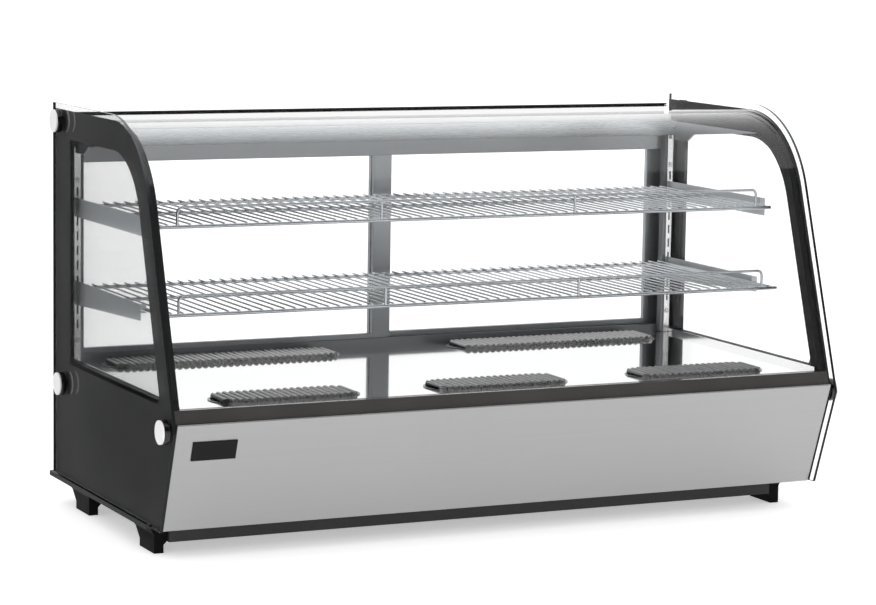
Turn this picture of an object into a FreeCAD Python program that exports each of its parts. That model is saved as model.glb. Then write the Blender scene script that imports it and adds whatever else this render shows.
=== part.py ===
import FreeCAD, Part
import math
import os
import re

# Countertop refrigerated deli case: curved front glass, printed side glasses, two wire
# shelves, sliding rear doors and a refrigeration unit in the base.
# +X is the customer's right, +Y the operator's side (rear), +Z up.
# The origin is on the counter, under the middle of the case.

V = FreeCAD.Vector

DIMENSIONS = [
    ("case_depth", 615.0),          # front of the side glasses to the rear of the base
    ("glass_depth", 590.0),         # side glass, front corner to rear edge
    ("case_height", 688.0),
    ("glass_half_x", 600.0),        # outer face of each side glass
    ("side_glass_thick", 5.0),
    ("enamel_thick", 0.4),
    ("clear_margin", 10.0),         # unprinted rim of the side glass
    ("bend_radius", 190.0),
    ("widest_z", 217.0),            # height of the front corner
    ("slope_run", 118.0),           # front slope: run over rise
    ("slope_rise", 350.0),
    ("undercut_run", 59.5),         # lower front: run back over drop
    ("undercut_drop", 165.5),
    ("side_glass_bottom", 56.0),
    ("step_length", 50.0),          # front toe of the side glass, a little lower
    ("step_drop", 4.5),
    ("window_bottom", 250.0),
    ("window_top", 630.0),
    ("window_rear_inset", 74.0),    # window's rear edge, in from the glass's rear edge
    ("window_front_inset", 60.0),
    ("window_corner", 15.0),
    ("cap_radius", 19.5),
    ("cap_disc", 3.0),
    ("cap_length", 12.0),
    ("cap_top_y", 247.5),
    ("cap_top_z", 659.0),
    ("cap_middle_y", 229.0),
    ("cap_middle_z", 215.5),
    ("cap_nose_y", -273.5),
    ("body_half_x", 592.0),
    ("front_glass_inset", 10.5),    # curved glass, in from the side glass outline
    ("front_glass_thick", 5.0),
    ("glass_top_rear_z", 668.0),
    ("glass_top_rear_y", 272.0),
    ("border_width", 10.0),
    ("rail_bottom", 229.5),         # black rail under the curved glass
    ("rail_top", 249.5),
    ("rail_depth", 14.0),
    ("panel_thick", 1.2),
    ("panel_bottom", 51.0),
    ("panel_fold", 24.0),
    ("panel_return", 60.0),         # bottom fold, back to the pan's flange
    ("frame_inner_x", 580.0),
    ("frame_width", 28.0),
    ("frame_bottom", 229.5),
    ("frame_sill", 256.0),
    ("frame_head", 640.0),
    ("frame_rear_y", 282.0),
    ("frame_open_rear", 259.0),     # rear edge of the frame's opening
    ("pane_inner_x", 583.0),
    ("pane_thick", 4.0),
    ("side_wall_thick", 3.0),
    ("side_wall_bottom", 52.5),
    ("side_wall_inset", 16.0),
    ("pan_floor_z", 18.0),
    ("pan_half_x", 556.0),
    ("pan_front_y", -170.0),
    ("pan_rear_y", 300.0),
    ("pan_thick", 2.0),
    ("flange_half_x", 598.5),
    ("flange_front_y", -176.5),
    ("flange_bottom", 44.0),
    ("flange_top", 52.0),
    ("foot_outer_x", 579.0),
    ("foot_sole_x", 16.0),
    ("foot_sole_y", 68.0),
    ("foot_sole_height", 13.0),
    ("foot_top_x", 45.0),
    ("foot_top_y", 104.0),
    ("foot_flare", 8.0),            # how far the top of a foot spreads outward
    ("foot_flare_z", 30.0),
    ("foot_front_y", -164.0),
    ("foot_rear_y", 155.0),
    ("deck_z", 248.0),
    ("deck_thick", 1.5),
    ("deck_half_x", 578.0),
    ("deck_front_y", -270.0),
    ("deck_rear_y", 248.0),
    ("deck_upstand", 7.6),
    ("pilaster_room", 3.0),
    ("vent_width", 84.0),
    ("vent_left_length", 432.0),    # the two long vents at the rear
    ("vent_left_x", -326.0),
    ("vent_right_length", 416.0),
    ("vent_right_x", 312.0),
    ("vent_front_length", 256.0),   # the three short ones at the front
    ("vent_front_x", 376.0),
    ("vent_rear_y", 191.0),
    ("vent_front_y", -207.0),
    ("vent_rim", 4.0),
    ("vent_rim_height", 1.2),
    ("vent_end", 12.0),             # rim left clear of ribs at each end
    ("rib_pitch", 11.6),
    ("rib_radius", 5.2),
    ("rib_wall", 2.4),              # straight wall under a rib's round top
    ("post_inner_x", 561.0),
    ("post_outer_x", 579.5),
    ("post_front_y", 236.0),
    ("post_top_z", 618.5),
    ("pilaster_inner_x", 567.0),
    ("pilaster_outer_x", 579.0),
    ("pilaster_front_y", 233.5),
    ("pilaster_top_z", 618.0),
    ("slot_pitch", 25.0),
    ("slot_width", 3.0),
    ("slot_height", 14.0),
    ("pilaster_screw_top", 560.0),
    ("pilaster_screw_bottom", 288.0),
    ("bracket_x", 572.2),
    ("bracket_thick", 1.6),
    ("bracket_rear_y", 233.0),
    ("bracket_ledge", 9.0),
    ("bracket_upper_front", -99.0),
    ("bracket_lower_front", -80.0),
    ("bracket_upper_rise", 12.0),   # blade's top edge over the shelf's rails
    ("bracket_lower_rise", 10.0),
    ("bracket_upper_front_drop", 18.5),
    ("bracket_upper_rear_drop", 20.0),
    ("bracket_lower_front_drop", 16.5),
    ("bracket_lower_rear_drop", 30.5),
    ("bracket_heel", 14.0),
    ("shelf_rear_y", 228.0),
    ("shelf_upper_z", 517.0),
    ("shelf_upper_front", -136.0),
    ("shelf_upper_half", 561.5),
    ("guard_upper_half", 532.0),
    ("shelf_lower_z", 378.6),
    ("shelf_lower_front", -156.0),
    ("shelf_lower_half", 566.0),
    ("guard_lower_half", 536.5),
    ("wire_pitch", 19.25),
    ("wire_overhang", 1.3),         # of the wires past the middle of the front rail
    ("wire_margin", 12.0),          # from a shelf's end to its first wire, at least
    ("wire_radius", 1.5),
    ("rail_wire_radius", 3.0),
    ("guard_wire_radius", 2.25),
    ("guard_height", 31.0),
    ("guard_post_x", 178.0),
    ("guard_bend", 9.0),
    ("track_front_y", 250.0),
    ("track_rear_y", 282.5),
    ("track_low_bottom", 240.0),
    ("track_low_top", 262.0),
    ("track_high_bottom", 588.0),
    ("track_high_top", 618.5),
    ("track_groove", 11.6),
    ("track_low_depth", 9.0),
    ("track_high_depth", 19.4),
    ("door_outer_x", 578.0),
    ("door_overlap_x", 17.0),
    ("door_thick", 10.0),
    ("door_left_y", 254.0),
    ("door_right_y", 268.5),
    ("door_bottom", 254.0),
    ("door_top", 606.5),
    ("door_sill", 270.0),
    ("door_head", 587.0),
    ("door_stile", 34.0),
    ("door_jamb_left", 22.0),
    ("door_jamb_right", 35.0),
    ("door_pane", 6.0),
    ("pull_width", 18.0),
    ("pull_height", 110.0),
    ("pull_z", 430.0),
    ("pull_depth", 8.0),
    ("header_front_y", 226.0),
    ("header_bottom", 615.0),
    ("header_top", 643.0),
    ("header_sheet", 1.5),
    ("header_recess", 4.0),         # the lamp's recess, behind the front lip
    ("cover_front_y", 246.0),
    ("cover_top", 657.0),
    ("header_cheek", 3.0),          # sheet cheeks that carry the header
    ("cheek_low_z", 606.5),
    ("cheek_flat", 43.5),
    ("cheek_step_y", 68.0),
    ("cheek_step_z", 14.5),
    ("cheek_length", 280.0),
    ("seal_thick", 2.6),
    ("seal_lip", 8.0),
    ("lamp_inset", 30.0),
    ("lamp_width", 7.0),
    ("lamp_height", 3.6),
    ("tub_bottom", 150.0),
    ("tub_top", 246.2),
    ("tub_wall", 24.0),
    ("tub_half_x", 576.0),
    ("tub_front_y", -258.0),
    ("tub_rear_y", 246.0),
    ("coil_half_x", 330.0),
    ("coil_front_y", 0.0),
    ("coil_depth", 90.0),
    ("coil_height", 56.0),
    ("coil_fin_pitch", 12.0),
    ("coil_fin_thick", 0.8),
    ("coil_tube_radius", 4.5),
    ("cold_fan_radius", 38.0),
    ("cold_fan_x", 312.0),
    ("cold_fan_y", 175.0),
    ("cold_fan_z", 214.0),
    ("fan_blade_height", 14.0),
    ("fan_hub_radius", 13.0),
    ("compressor_x", -330.0),
    ("compressor_y", 110.0),
    ("compressor_radius", 62.0),
    ("compressor_height", 108.0),
    ("condenser_x", 120.0),
    ("condenser_depth_x", 60.0),
    ("condenser_half_y", 85.0),
    ("condenser_y", 130.0),
    ("condenser_height", 116.0),
    ("condenser_fan_x", 70.0),
    ("condenser_fan_radius", 48.0),
    ("rear_panel_y", 282.5),
    ("rear_panel_half_x", 590.0),
    ("rear_panel_bottom", 53.0),
    ("rear_panel_top", 239.0),
    ("louvre_pitch", 14.0),
    ("louvre_height", 6.0),
    ("louvre_length", 300.0),
    ("louvre_x", 150.0),
    ("control_x", -380.0),
    ("control_z", 150.0),
    ("control_half_x", 95.0),
    ("control_half_z", 38.0),
    ("control_thick", 4.0),
    ("knob_x", -325.0),
    ("knob_radius", 15.0),
    ("knob_height", 14.0),
    ("rocker_radius", 9.0),
    ("rocker_half_x", 7.0),
    ("power_switch_x", -445.0),
    ("light_switch_x", -405.0),
    ("rocker_tilt", 10.0),
    ("gland_x", -500.0),
    ("gland_z", 90.0),
    ("badge_x", -525.0),
    ("badge_width", 74.0),
    ("badge_height", 33.0),
    ("badge_top_z", 200.0),
    ("badge_thick", 1.5),
    ("drain_tray_x", 330.0),
]

DOC = FreeCAD.newDocument("DeliCase")
SHEET = DOC.addObject("Spreadsheet::Sheet", "dims")
for row, (alias, value) in enumerate(DIMENSIONS, start=1):
    SHEET.set("A%d" % row, alias)
    SHEET.set("B%d" % row, repr(value))
    SHEET.setAlias("B%d" % row, alias)
DOC.recompute()

NODES = []


def dim(alias):
    """The sheet's value for an alias, in millimetres (or degrees)."""
    return float(SHEET.get(alias))


def node(item, label):
    """Name a sub-part and put it on the list of files to write."""
    item.Label = label
    NODES.append(item)
    return item


# ---------------------------------------------------------------- parametric helpers

def bind(item, prop, expression):
    """Tie a property to the sheet; aliases are written bare, as in 'deck_z - 2'."""
    item.setExpression(prop, re.sub(r"[a-z][a-z_]+", r"dims.\g<0>", expression))


def block(name, x, y, z):
    """A Part::Box between two faces on each axis, each face an expression."""
    item = DOC.addObject("Part::Box", name)
    for prop, place, (low, high) in (("Length", "x", x), ("Width", "y", y), ("Height", "z", z)):
        bind(item, prop, "( %s ) - ( %s )" % (high, low))
        bind(item, "Placement.Base." + place, low)
    return item


def cut(name, base, tool):
    item = DOC.addObject("Part::Cut", name)
    item.Base = base
    item.Tool = tool
    return item


def fuse(name, shapes):
    item = DOC.addObject("Part::MultiFuse", name)
    item.Shapes = shapes
    return item


def feature(name, shape):
    """A sub-part whose shape is worked out with Part's own functions."""
    item = DOC.addObject("Part::Feature", name)
    item.Shape = shape
    return item


def meet(point_a, way_a, point_b, way_b):
    """Where two lines in a plane cross."""
    across = way_a[0] * way_b[1] - way_a[1] * way_b[0]
    gap = (point_b[0] - point_a[0], point_b[1] - point_a[1])
    along = (gap[0] * way_b[1] - gap[1] * way_b[0]) / across
    return (point_a[0] + along * way_a[0], point_a[1] + along * way_a[1])


def settle(item, base, rotation=FreeCAD.Rotation()):
    """Move a sub-part, modelled round the origin, to its place in the case."""
    item.Placement = FreeCAD.Placement(base, rotation).multiply(item.Placement)


def outline(corners):
    """Line and arc geometry through (y, z, radius) corners, as a closed loop."""
    ends = []
    count = len(corners)
    for index, (y, z, radius) in enumerate(corners):
        here = V(y, z, 0)
        if radius == 0:
            ends.append((here, here, None))
            continue
        before = V(corners[index - 1][0], corners[index - 1][1], 0) - here
        after = V(corners[(index + 1) % count][0], corners[(index + 1) % count][1], 0) - here
        half = before.getAngle(after) / 2
        reach = radius / math.tan(half)
        before.normalize()
        after.normalize()
        bisector = (before + after).normalize()
        middle = here + bisector * (radius / math.sin(half) - radius)
        ends.append((here + before * reach, here + after * reach, middle))
    pieces = []
    for index, (start, end, middle) in enumerate(ends):
        if middle is not None:
            pieces.append(Part.Arc(start, middle, end))
        following = ends[(index + 1) % count][0]
        if (following - end).Length > 1e-6:
            pieces.append(Part.LineSegment(end, following))
    return pieces


def origin_plane(body, role):
    return next(part for part in body.Origin.OriginFeatures if part.Role == role)


def sketch_in(body, name, role, loops):
    """A sketch on one of the body's own planes, holding closed loops of geometry."""
    sketch = body.newObject("Sketcher::SketchObject", name)
    sketch.AttachmentSupport = [(origin_plane(body, role), "")]
    sketch.MapMode = "FlatFace"
    for loop in loops:
        for piece in loop:
            sketch.addGeometry(piece, False)
    return sketch


def side_slab(name, loops, low_x, thickness):
    """A PartDesign body: an outline seen from the side, padded along X from low_x."""
    body = DOC.addObject("PartDesign::Body", name)
    sketch = sketch_in(body, name + "_sketch", "YZ_Plane", loops)
    pad = body.newObject("PartDesign::Pad", name + "_pad")
    pad.Profile = sketch
    bind(pad, "Length", thickness)
    bind(body, "Placement.Base.x", low_x)
    sketch.Visibility = False
    return body


def side_prism(loop, low_x, high_x):
    """A solid with a side outline, between two X values."""
    wire_loop = Part.Wire(Part.__sortEdges__([piece.toShape() for piece in loop]))
    solid = Part.Face(wire_loop).extrude(V(0, 0, high_x - low_x))
    solid.Placement = FreeCAD.Placement(V(low_x, 0, 0), FreeCAD.Rotation(V(1, 1, 1), 120))
    return solid


def side_pair(stem, loops, low_x, high_x):
    """The same side outline on the left and the right of the case."""
    thickness = "( %s ) - ( %s )" % (high_x, low_x)
    node(side_slab(stem + "_left_body", loops, "-( %s )" % high_x, thickness), stem + "_left")
    node(side_slab(stem + "_right_body", loops, low_x, thickness), stem + "_right")


# ---------------------------------------------------------------- the side profile

FRONT_Y = -dim("case_depth") / 2
GLASS_REAR_Y = FRONT_Y + dim("glass_depth")
SLOPE = (dim("slope_run"), dim("slope_rise"))
UNDERCUT = (dim("undercut_run"), -dim("undercut_drop"))


def slope_point(inset):
    """A point on the front slope line moved in from the outline."""
    length = math.hypot(*SLOPE)
    return (FRONT_Y + inset * SLOPE[1] / length, dim("widest_z") - inset * SLOPE[0] / length)


def undercut_point(inset):
    length = math.hypot(*UNDERCUT)
    return (FRONT_Y - inset * UNDERCUT[1] / length, dim("widest_z") + inset * UNDERCUT[0] / length)


def slope_at(z, inset):
    return meet(slope_point(inset), SLOPE, (0, z), (1, 0))


def undercut_at(z, inset):
    return meet(undercut_point(inset), UNDERCUT, (0, z), (1, 0))


def nose(inset):
    return meet(slope_point(inset), SLOPE, undercut_point(inset), UNDERCUT)


def top_line(inset):
    """A point and direction of the curved glass's top, inset from its outer face."""
    rear = (dim("glass_top_rear_y"), dim("glass_top_rear_z") - inset)
    tangent_z = dim("case_height") - dim("front_glass_inset") - inset
    return rear, (-dim("glass_top_rear_y"), tangent_z - rear[1])


def glass_corner(inset):
    """Corner of the glass's top and slope lines; its bend is an arc in that corner."""
    point, way = top_line(inset)
    return meet(point, way, slope_point(dim("front_glass_inset") + inset), SLOPE)


def side_glass_outline(margin):
    """The side glass: flat top, big bend, straight slope, undercut and a stepped toe."""
    top = dim("case_height") - margin
    corner = meet((0, top), (1, 0), slope_point(margin), SLOPE)
    toe = dim("side_glass_bottom") - dim("step_drop")
    foot = undercut_at(toe, margin)
    step_y = foot[0] + dim("step_length") - margin
    bottom = dim("side_glass_bottom")
    return outline([
        (GLASS_REAR_Y, top, 0),
        (corner[0], corner[1], dim("bend_radius") - margin),
        (*nose(margin), 0),
        (*foot, 0),
        (step_y, toe, 0),
        (step_y, bottom, 0),
        (GLASS_REAR_Y, bottom, 0),
    ])


def window_outline():
    """The clear window left in the side print."""
    top = dim("window_top")
    inset = dim("window_front_inset")
    corner = meet((0, top), (1, 0), slope_point(inset), SLOPE)
    low = slope_at(dim("window_bottom"), inset)
    rear = GLASS_REAR_Y - dim("window_rear_inset")
    return outline([
        (rear, top, dim("window_corner") / 3),
        (corner[0], corner[1], dim("bend_radius") - inset),
        (low[0], low[1], dim("window_corner")),
        (rear, dim("window_bottom"), dim("window_corner") / 3),
    ])


def frame_outline():
    """The side frame's outside, under the curved glass and down to the sill."""
    inset = dim("front_glass_thick") + 0.5
    corner = glass_corner(inset)
    low = slope_at(dim("frame_bottom"), dim("front_glass_inset") + inset)
    rear = meet(*top_line(inset), (dim("frame_rear_y"), 0), (0, 1))
    return outline([
        (*rear, 0),
        (corner[0], corner[1], dim("bend_radius") - dim("front_glass_inset") - inset),
        (low[0], low[1], 0),
        (dim("frame_rear_y"), dim("frame_bottom"), 0),
    ])


def frame_opening():
    """The opening of the side frame, which the inner pane fills."""
    inset = dim("front_glass_inset") + dim("frame_width")
    head = dim("frame_head")
    corner = meet((0, head), (1, 0), slope_point(inset), SLOPE)
    low = slope_at(dim("frame_sill"), inset)
    return outline([
        (dim("frame_open_rear"), head, 0),
        (corner[0], corner[1], dim("bend_radius") - inset),
        (low[0], low[1], 0),
        (dim("frame_open_rear"), dim("frame_sill"), 0),
    ])


# ---------------------------------------------------------------- sides

def build_side_glasses():
    loops = [side_glass_outline(0)]
    side_pair("side_glass", loops, "glass_half_x - side_glass_thick", "glass_half_x")


def build_side_enamel():
    """The black print on the inner face of each side glass, with its clear window."""
    loops = [side_glass_outline(dim("clear_margin")), window_outline()]
    face = "glass_half_x - side_glass_thick"
    side_pair("side_enamel", loops, face + " - enamel_thick", face)


def build_side_frames():
    side_pair("side_frame", [frame_outline(), frame_opening()], "frame_inner_x", "body_half_x")


def build_side_panes():
    side_pair("side_pane", [frame_opening()], "pane_inner_x", "pane_inner_x + pane_thick")


def build_side_walls():
    """Steel side walls of the base, under the side frames."""
    inset = dim("front_glass_inset") + dim("side_wall_inset")
    top = dim("frame_bottom") - 0.3
    bottom = dim("side_wall_bottom")
    loop = outline([
        (dim("frame_rear_y"), top, 0),
        (*slope_at(top, inset), 0),
        (*nose(inset), 0),
        (*undercut_at(bottom, inset), 0),
        (dim("frame_rear_y"), bottom, 0),
    ])
    side_pair("side_wall", [loop], "body_half_x - side_wall_thick", "body_half_x")


def standoff_places():
    """Centres of the three caps that hold a side glass: rear top, rear middle, nose."""
    return [
        (dim("cap_top_y"), dim("cap_top_z")),
        (dim("cap_middle_y"), dim("cap_middle_z")),
        (dim("cap_nose_y"), dim("cap_middle_z")),
    ]


def standoff_group(name, radius, near, far):
    """Six cylinders, three on each side, between two distances from the middle."""
    solids = []
    for sign in (-1, 1):
        for y, z in standoff_places():
            solids.append(Part.makeCylinder(radius, far - near, V(sign * near, y, z), V(sign, 0, 0)))
    return node(feature(name + "_group", Part.makeCompound(solids)), name)


def build_standoffs():
    """Black caps outside each side glass, bright discs on them, and spacers inside."""
    face = dim("glass_half_x")
    standoff_group("standoff_caps", dim("cap_radius"), face, face + dim("cap_length") - dim("cap_disc"))
    standoff_group("standoff_discs", dim("cap_radius") - 0.5,
                   face + dim("cap_length") - dim("cap_disc"), face + dim("cap_length"))


# ---------------------------------------------------------------- front

def front_glass_loop(inner, outer, low_z):
    """Section of the curved glass between two insets from its outer face."""
    loops = []
    for inset in (outer, inner):
        base = dim("front_glass_inset")
        corner = glass_corner(inset)
        low = slope_at(low_z, base + inset)
        rear_z = dim("glass_top_rear_z") - inset
        loops.append([
            (dim("glass_top_rear_y"), rear_z, 0),
            (corner[0], corner[1], dim("bend_radius") - base - inset),
            (low[0], low[1], 0),
        ])
    outer_side, inner_side = loops
    return outline(outer_side + inner_side[::-1])


def build_front_glass():
    loop = front_glass_loop(dim("front_glass_thick"), 0, dim("rail_top") + 0.3)
    body = side_slab("front_glass_body", [loop], "-body_half_x", "2 * body_half_x")
    node(body, "front_glass")


def build_front_borders():
    """Black enamel along both ends of the curved glass, on its inner face."""
    thick = dim("front_glass_thick")
    loop = front_glass_loop(thick + dim("enamel_thick"), thick, dim("rail_top") + 0.3)
    width = dim("border_width")
    end = dim("body_half_x")
    solids = [side_prism(loop, low_x, low_x + width) for low_x in (-end, end - width)]
    node(feature("front_borders_group", Part.makeCompound(solids)), "front_borders")


def build_glass_rail():
    """The black rail the curved glass stands on, with end blocks before the side frames."""
    low = dim("rail_bottom")
    top = dim("rail_top")
    outer = dim("front_glass_inset") - 0.5
    inner = dim("front_glass_inset") + dim("front_glass_thick")
    depth = dim("rail_depth")
    nosing = [(*slope_at(low, outer), 0), (*slope_at(top, outer), 1.5)]
    back = [(slope_at(top, outer)[0] + depth, top, 0), (slope_at(low, outer)[0] + depth, low, 0)]
    block_back = [(*slope_at(top, inner), 0), (*slope_at(low, inner), 0)]
    joint = dim("frame_inner_x") - 0.5
    end = dim("body_half_x")
    solids = [side_prism(outline(nosing + back), -joint, joint)]
    for low_x, high_x in ((-end, -joint - 0.2), (joint + 0.2, end)):
        solids.append(side_prism(outline(nosing + block_back), low_x, high_x))
    node(feature("glass_rail_group", Part.makeCompound(solids)), "glass_rail")


def build_front_panel():
    """Folded stainless front: one flat face, folded back along its top and bottom."""
    thick = dim("panel_thick")
    outer = dim("front_glass_inset") - 0.5
    top = dim("rail_bottom") - 0.3
    bottom = dim("panel_bottom")
    fold = dim("panel_fold")
    top_back = undercut_at(top, outer)[0] + fold
    low_back = undercut_at(bottom, outer)[0] + dim("panel_return")
    corners = [
        (top_back, top, 0),
        (*undercut_at(top, outer), thick * 1.5),
        (*undercut_at(bottom, outer), thick * 1.5),
        (low_back, bottom, 0),
        (low_back, bottom + thick, 0),
        (*undercut_at(bottom + thick, outer + thick), 0),
        (*undercut_at(top - thick, outer + thick), 0),
        (top_back, top - thick, 0),
    ]
    ends = "body_half_x - 1"
    body = side_slab("front_panel_body", [outline(corners)], "-( %s )" % ends, "2 * ( %s )" % ends)
    node(body, "front_panel")


def build_badge():
    """A blank plate on the front panel, lying on its undercut face."""
    outer = dim("front_glass_inset") - 0.5
    top = undercut_at(dim("badge_top_z"), outer)
    tilt = math.degrees(math.atan2(UNDERCUT[0], -UNDERCUT[1]))
    plate = Part.makeBox(dim("badge_width"), dim("badge_thick"), dim("badge_height"))
    plate = plate.makeFillet(0.6, [edge for edge in plate.Edges if edge.Length < 2])
    plate.translate(V(-dim("badge_width") / 2, -dim("badge_thick"), -dim("badge_height")))
    badge = node(feature("badge_group", plate), "badge_plate")
    settle(badge, V(dim("badge_x"), top[0], top[1]), FreeCAD.Rotation(V(1, 0, 0), tilt))


# ---------------------------------------------------------------- base and feet

def build_base_pan():
    """Steel tray with a folded-out flange that the side walls stand on."""
    flange = block("pan_flange", ("-flange_half_x", "flange_half_x"),
                   ("flange_front_y", "case_depth / 2"), ("flange_bottom", "flange_top"))
    tray = block("pan_tray", ("-pan_half_x", "pan_half_x"),
                 ("pan_front_y", "pan_rear_y"), ("pan_floor_z", "flange_top"))
    hollow = block("pan_hollow", ("-pan_half_x + pan_thick", "pan_half_x - pan_thick"),
                   ("pan_front_y + pan_thick", "pan_rear_y - pan_thick"),
                   ("pan_floor_z + pan_thick", "flange_top + 1"))
    node(cut("base_pan_cut", fuse("pan_solid", [flange, tray]), hollow), "base_pan")


def build_feet():
    """Four moulded feet: a narrow sole, flaring inward and rearward up to the pan."""
    sole_z = dim("foot_sole_height")
    flare_z = dim("foot_flare_z")
    top_z = dim("flange_bottom")
    share = (flare_z - sole_z) / (top_z - sole_z)
    sole = (0, 0, dim("foot_sole_x"), dim("foot_sole_y"))
    top = (0, 0, dim("foot_top_x"), dim("foot_top_y"))
    waist = tuple(low + share * (high - low) for low, high in zip(sole, top))
    spread = (-dim("foot_flare"), 0, dim("foot_top_x"), dim("foot_top_y"))
    inner = dim("foot_outer_x") - dim("pan_half_x")
    for depth_name, front_y in (("front", dim("foot_front_y")), ("rear", dim("foot_rear_y"))):
        for side_name, sign in (("left", -1), ("right", 1)):
            stages = [Part.makeBox(sole[2], sole[3], sole_z), frustum(sole, waist, sole_z, flare_z),
                      frustum(waist, spread, flare_z, top_z)]
            foot = stages[0].multiFuse(stages[1:])
            tray = Part.makeBox(dim("foot_top_x"), 2 * dim("foot_top_y"), top_z,
                                V(inner - 0.01, -1, dim("pan_floor_z")))
            foot = foot.cut(tray).removeSplitter()
            if sign > 0:
                foot = foot.mirror(V(0, 0, 0), V(1, 0, 0))
            foot.translate(V(sign * dim("foot_outer_x"), front_y, 0))
            name = "foot_%s_%s" % (depth_name, side_name)
            node(feature(name + "_shape", foot), name)


def frustum(low, high, low_z, high_z):
    """A block lofted between two (x, y, x, y) rectangles at two heights."""
    rings = []
    for (x_a, y_a, x_b, y_b), z in ((low, low_z), (high, high_z)):
        corners = [V(x_a, y_a, z), V(x_b, y_a, z), V(x_b, y_b, z), V(x_a, y_b, z)]
        rings.append(Part.makePolygon(corners + corners[:1]))
    return Part.makeLoft(rings, True, True)


# ---------------------------------------------------------------- display space

def stadium(length, width, height, centre, low_z):
    """A flat-sided slot shape with round ends, along X."""
    radius = width / 2
    straight = length / 2 - radius
    x, y = centre
    path = [
        Part.LineSegment(V(x - straight, y - radius, low_z), V(x + straight, y - radius, low_z)),
        Part.Arc(V(x + straight, y - radius, low_z), V(x + straight + radius, y, low_z),
                 V(x + straight, y + radius, low_z)),
        Part.LineSegment(V(x + straight, y + radius, low_z), V(x - straight, y + radius, low_z)),
        Part.Arc(V(x - straight, y + radius, low_z), V(x - straight - radius, y, low_z),
                 V(x - straight, y - radius, low_z)),
    ]
    face = Part.Face(Part.Wire([piece.toShape() for piece in path]))
    return face.extrude(V(0, 0, height))


def vent_places():
    """Centre and length of each deck vent: two long ones behind, three in front."""
    places = []
    for side_name in ("left", "right"):
        centre = (dim("vent_%s_x" % side_name), dim("vent_rear_y"))
        places.append((centre, dim("vent_%s_length" % side_name)))
    for step in (-1, 0, 1):
        places.append(((step * dim("vent_front_x"), dim("vent_front_y")), dim("vent_front_length")))
    return places


def build_deck():
    """Polished deck plate with a low upstand at each side and stadium cut-outs."""
    low_z = dim("deck_z") - dim("deck_thick")
    plate = Part.makeBox(2 * dim("deck_half_x"), dim("deck_rear_y") - dim("deck_front_y"),
                         dim("deck_thick"), V(-dim("deck_half_x"), dim("deck_front_y"), low_z))
    for low_x in (-dim("deck_half_x"), dim("deck_half_x") - dim("deck_thick")):
        plate = plate.fuse(Part.makeBox(
            dim("deck_thick"), dim("post_front_y") - dim("pilaster_room") - dim("deck_front_y"),
            dim("deck_thick") + dim("deck_upstand"), V(low_x, dim("deck_front_y"), low_z)))
    for centre, length in vent_places():
        rim = dim("vent_rim")
        plate = plate.cut(stadium(length - 2 * rim, dim("vent_width") - 2 * rim, dim("deck_thick"),
                                  centre, low_z))
    node(feature("deck_shape", plate), "deck_plate")


def vent(centre, length):
    """One vent: a thin stadium rim, crossed by round-topped ribs along Y."""
    top = dim("deck_z")
    width = dim("vent_width")
    rim = dim("vent_rim")
    radius = dim("rib_radius")
    wall = dim("rib_wall")
    ring = stadium(length, width, dim("vent_rim_height"), centre, top)
    ring = ring.cut(stadium(length - 2 * rim, width - 2 * rim, dim("vent_rim_height"), centre, top))
    bound = stadium(length - rim, width - rim, wall + radius, centre, top)
    count = int((length - 2 * dim("vent_end") - 2 * radius) / dim("rib_pitch"))
    ribs = []
    for index in range(count + 1):
        x = centre[0] + (index - count / 2) * dim("rib_pitch")
        start = V(x, centre[1] - width / 2, top + wall)
        bar = Part.makeCylinder(radius, width, start, V(0, 1, 0))
        foot = Part.makeBox(2 * radius, width, wall, start - V(radius, 0, wall))
        ribs.append(bar.fuse(foot).common(bound))
    return ring.fuse(ribs)


def build_vents():
    solids = [vent(centre, length) for centre, length in vent_places()]
    node(feature("vents_group", Part.makeCompound(solids)), "deck_vents")


def wire(radius, start, end):
    way = end - start
    return Part.makeCylinder(radius, way.Length, start, way)


def bent_wire(radius, points, bend):
    """A round wire along straight runs joined by tangent arcs."""
    edges = []
    start = points[0]
    for index in range(1, len(points) - 1):
        here = points[index]
        before = (points[index - 1] - here).normalize()
        after = (points[index + 1] - here).normalize()
        half = before.getAngle(after) / 2
        reach = bend / math.tan(half)
        middle = here + (before + after).normalize() * (bend / math.sin(half) - bend)
        edges.append(Part.LineSegment(start, here + before * reach).toShape())
        edges.append(Part.Arc(here + before * reach, middle, here + after * reach).toShape())
        start = here + after * reach
    edges.append(Part.LineSegment(start, points[-1]).toShape())
    path = Part.Wire(edges)
    section = Part.Wire(Part.makeCircle(radius, points[0], points[1] - points[0]))
    return path.makePipeShell([section], True, True)


def shelf(half, front_y, z):
    """A welded wire shelf: front-to-back wires on rails, with a guard rail in front."""
    rear_y = dim("shelf_rear_y")
    thin = dim("wire_radius")
    thick = dim("rail_wire_radius")
    lift = thin + thick - 0.6
    solids = []
    count = int(2 * (half - dim("wire_margin")) / dim("wire_pitch"))
    for index in range(count + 1):
        x = (index - count / 2) * dim("wire_pitch")
        solids.append(wire(thin, V(x, front_y - dim("wire_overhang"), z + lift), V(x, rear_y, z + lift)))
    middle_y = (front_y + rear_y) / 2 + 17
    for y, radius in ((front_y, thick), (middle_y, thick), (rear_y - 12, thick)):
        solids.append(wire(radius, V(-half, y, z), V(half, y, z)))
    for x in (-half + 6, half - 6):
        solids.append(wire(thick, V(x, front_y + dim("wire_overhang"), z), V(x, rear_y, z)))
    welded = solids[0].multiFuse(solids[1:])
    return welded


def guard(half, front_y, z):
    """Front guard of a shelf: one bent wire with two posts under it."""
    radius = dim("guard_wire_radius")
    top = z + dim("guard_height")
    bent = bent_wire(radius, [V(-half, front_y, z), V(-half, front_y, top),
                              V(half, front_y, top), V(half, front_y, z)], dim("guard_bend"))
    posts = [wire(radius, V(x, front_y, z), V(x, front_y, top))
             for x in (-dim("guard_post_x"), dim("guard_post_x"))]
    return bent.multiFuse(posts)


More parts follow.
